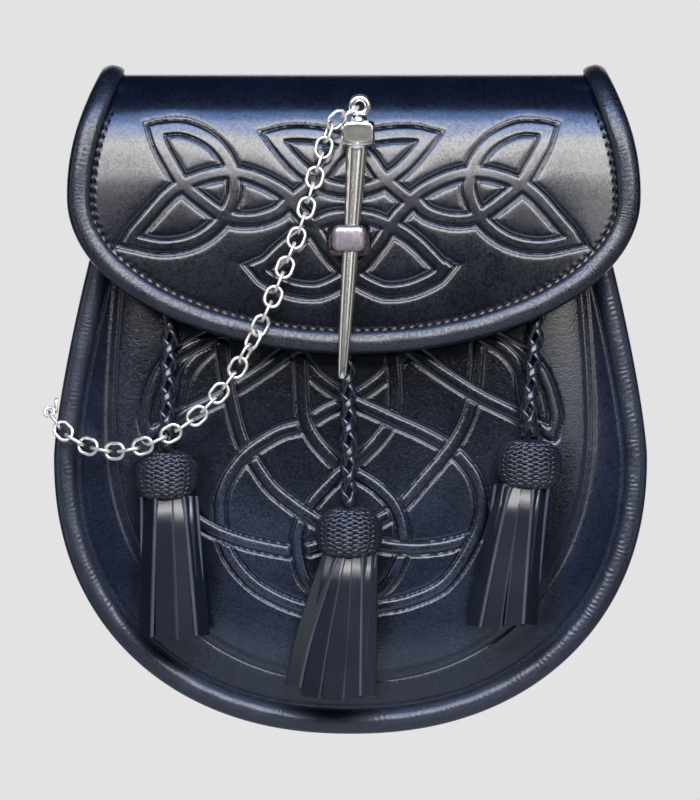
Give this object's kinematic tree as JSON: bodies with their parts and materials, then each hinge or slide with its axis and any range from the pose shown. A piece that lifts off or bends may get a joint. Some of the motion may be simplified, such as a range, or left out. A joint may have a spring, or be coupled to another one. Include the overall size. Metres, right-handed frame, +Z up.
{
  "type": "sporran pouch",
  "caption": "Leather waist pouch with a rolled flap, knotwork tooling, hanging tassels and a pin on a chain that closes it.",
  "frame": {"origin": "middle of the waist strap that runs through the two rear loops", "axes": "+Z up as worn, -Y is the front with the flap, +X is the viewer's right when looking at the front"},
  "size_m": [0.1812, 0.0603, 0.2003],
  "materials": {
    "panel_leather": "tooled and polished",
    "edge_leather": "grained, stitched edging",
    "lace_leather": "smooth lace",
    "silver_plate": "polished, lightly worn",
    "aged_pewter": "dull, aged"
  },
  "bodies": {
    "root": {"front_panel": "panel_leather", "back_panel": "panel_leather", "gusset": "panel_leather", "flap": "panel_leather", "strap_loop_left": "panel_leather", "strap_loop_right": "panel_leather", "front_binding": "edge_leather", "back_binding": "edge_leather", "flap_binding": "edge_leather", "tassel_cord_left": "lace_leather", "tassel_knot_left": "lace_leather", "tassel_skirt_left": "lace_leather", "tassel_cord_centre": "lace_leather", "tassel_knot_centre": "lace_leather", "tassel_skirt_centre": "lace_leather", "tassel_cord_right": "lace_leather", "tassel_knot_right": "lace_leather", "tassel_skirt_right": "lace_leather", "pin": "silver_plate", "jump_ring": "silver_plate", "chain_link_01": "silver_plate", "chain_link_02": "silver_plate", "chain_link_03": "silver_plate", "chain_link_04": "silver_plate", "chain_link_05": "silver_plate", "chain_link_06": "silver_plate", "chain_link_07": "silver_plate", "chain_link_08": "silver_plate", "chain_link_09": "silver_plate", "chain_link_10": "silver_plate", "chain_link_11": "silver_plate", "chain_link_12": "silver_plate", "chain_link_13": "silver_plate", "chain_link_14": "silver_plate", "chain_link_15": "silver_plate", "chain_link_16": "silver_plate", "chain_link_17": "silver_plate", "chain_link_18": "silver_plate", "chain_link_19": "silver_plate", "chain_link_20": "silver_plate", "chain_link_21": "silver_plate", "chain_link_22": "silver_plate", "chain_link_23": "silver_plate", "chain_link_24": "silver_plate", "chain_link_25": "silver_plate", "chain_link_26": "silver_plate", "chain_link_27": "silver_plate", "chain_link_28": "silver_plate", "chain_link_29": "silver_plate", "chain_link_30": "silver_plate", "chain_link_31": "silver_plate", "chain_link_32": "silver_plate", "chain_link_33": "silver_plate", "chain_anchor": "silver_plate", "closure_post": "aged_pewter"}
  },
  "joints": []
}
